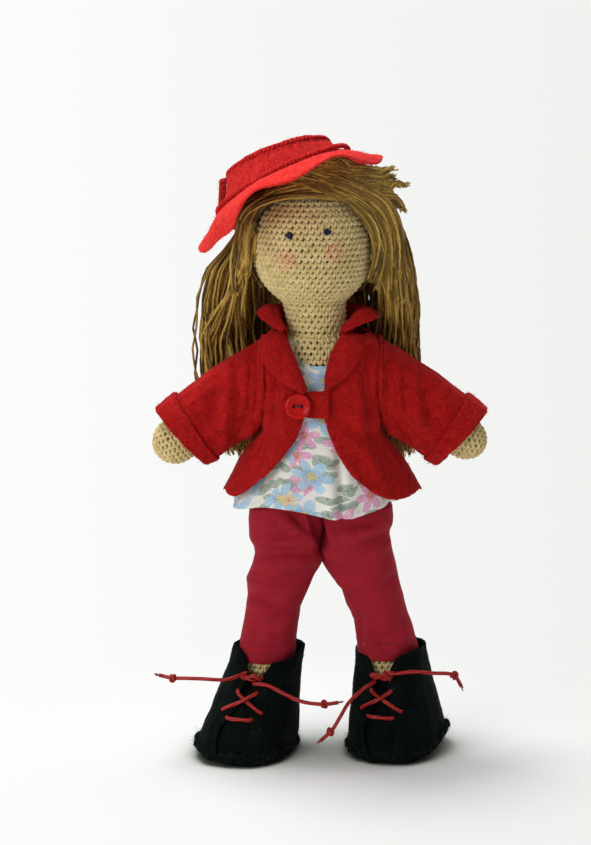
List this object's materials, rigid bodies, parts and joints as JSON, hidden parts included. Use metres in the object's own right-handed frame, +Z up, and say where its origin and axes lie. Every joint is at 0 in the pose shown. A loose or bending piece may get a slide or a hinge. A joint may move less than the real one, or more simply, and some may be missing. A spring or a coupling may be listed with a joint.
{
  "type": "crocheted doll",
  "caption": "crocheted doll with yarn hair, in a felt jacket and hat, floral blouse, trousers and laced suede boots; head, arms and legs turn and the hat lifts off",
  "frame": {"origin": "on the floor between the boots, at the middle of the doll's width and depth", "axes": "+Z up, the doll faces -Y, +X is the doll's own left"},
  "size_m": [0.1478, 0.0881, 0.2749],
  "materials": {
    "crochet_yarn": "matt cotton yarn in tight crochet",
    "eye_bead": "glossy dark blue bead",
    "print_cotton": "thin printed cotton with blue and pink flowers",
    "trouser_cotton": "plain weave crimson cotton",
    "red_felt": "soft wool felt",
    "button_plastic": "polished",
    "button_thread": "sewing thread",
    "black_suede": "napped suede",
    "insole_card": "plain card",
    "waxed_cord": "thin waxed cord",
    "hair_yarn": "plied yarn strands"
  },
  "bodies": {
    "torso": {"torso": "crochet_yarn", "blouse": "print_cotton", "trousers_seat": "trouser_cotton", "jacket_back": "red_felt", "jacket_front_right": "red_felt", "jacket_front_left": "red_felt", "lapel_right": "red_felt", "lapel_left": "red_felt", "button_loop": "red_felt", "button": "button_plastic", "button_thread": "button_thread", "collar": "red_felt"},
    "head": {"head": "crochet_yarn", "eye_left": "eye_bead", "eye_right": "eye_bead", "hair_cap": "hair_yarn", "hair_fringe": "hair_yarn", "hair_fall_back": "hair_yarn", "hair_fall_left": "hair_yarn", "hair_fall_right": "hair_yarn"},
    "hat": {"hat_crown_side": "red_felt", "hat_crown_top": "red_felt", "hat_brim": "red_felt", "hat_side_lap": "red_felt"},
    "arm_left": {"arm_left": "crochet_yarn", "sleeve_left": "red_felt", "cuff_left": "red_felt"},
    "leg_left": {"leg_left": "crochet_yarn", "trouser_leg_left": "trouser_cotton", "boot_sole_left": "black_suede", "boot_insole_left": "insole_card", "boot_quarter_left": "black_suede", "boot_tongue_left": "black_suede", "lace_bar_left": "waxed_cord", "lace_cross_under_left": "waxed_cord", "lace_cross_over_left": "waxed_cord", "lace_tie_left": "waxed_cord", "lace_end_out_left": "waxed_cord", "lace_end_in_left": "waxed_cord"},
    "arm_right": {"arm_right": "crochet_yarn", "sleeve_right": "red_felt", "cuff_right": "red_felt"},
    "leg_right": {"leg_right": "crochet_yarn", "trouser_leg_right": "trouser_cotton", "boot_sole_right": "black_suede", "boot_insole_right": "insole_card", "boot_quarter_right": "black_suede", "boot_tongue_right": "black_suede", "lace_bar_right": "waxed_cord", "lace_cross_under_right": "waxed_cord", "lace_cross_over_right": "waxed_cord", "lace_tie_right": "waxed_cord", "lace_end_out_right": "waxed_cord", "lace_end_in_right": "waxed_cord"}
  },
  "joints": [
    {"name": "head_turn", "type": "hinge", "parent": "torso", "child": "head", "pos_m": [-0.0016, 0, 0.1873], "axis": [0, 0, 1], "range_deg": [-15, 15], "deforming": ["hair_fall_back", "hair_fall_left", "hair_fall_right"]},
    {"name": "hat_lift", "type": "slide", "parent": "head", "child": "hat", "axis": [-0.4234, 0.2588, 0.8682], "range_m": [0, 0.06]},
    {"name": "shoulder_left", "type": "hinge", "parent": "torso", "child": "arm_left", "pos_m": [0.0258, 0, 0.1665], "axis": [-1, 0, 0], "range_deg": [-10, 80]},
    {"name": "shoulder_right", "type": "hinge", "parent": "torso", "child": "arm_right", "pos_m": [-0.0258, 0, 0.1665], "axis": [-1, 0, 0], "range_deg": [-10, 80]},
    {"name": "hip_left", "type": "hinge", "parent": "torso", "child": "leg_left", "pos_m": [0.015, 0, 0.104], "axis": [-1, 0, 0], "range_deg": [-20, 60]},
    {"name": "hip_right", "type": "hinge", "parent": "torso", "child": "leg_right", "pos_m": [-0.015, 0, 0.104], "axis": [-1, 0, 0], "range_deg": [-20, 60]}
  ]
}
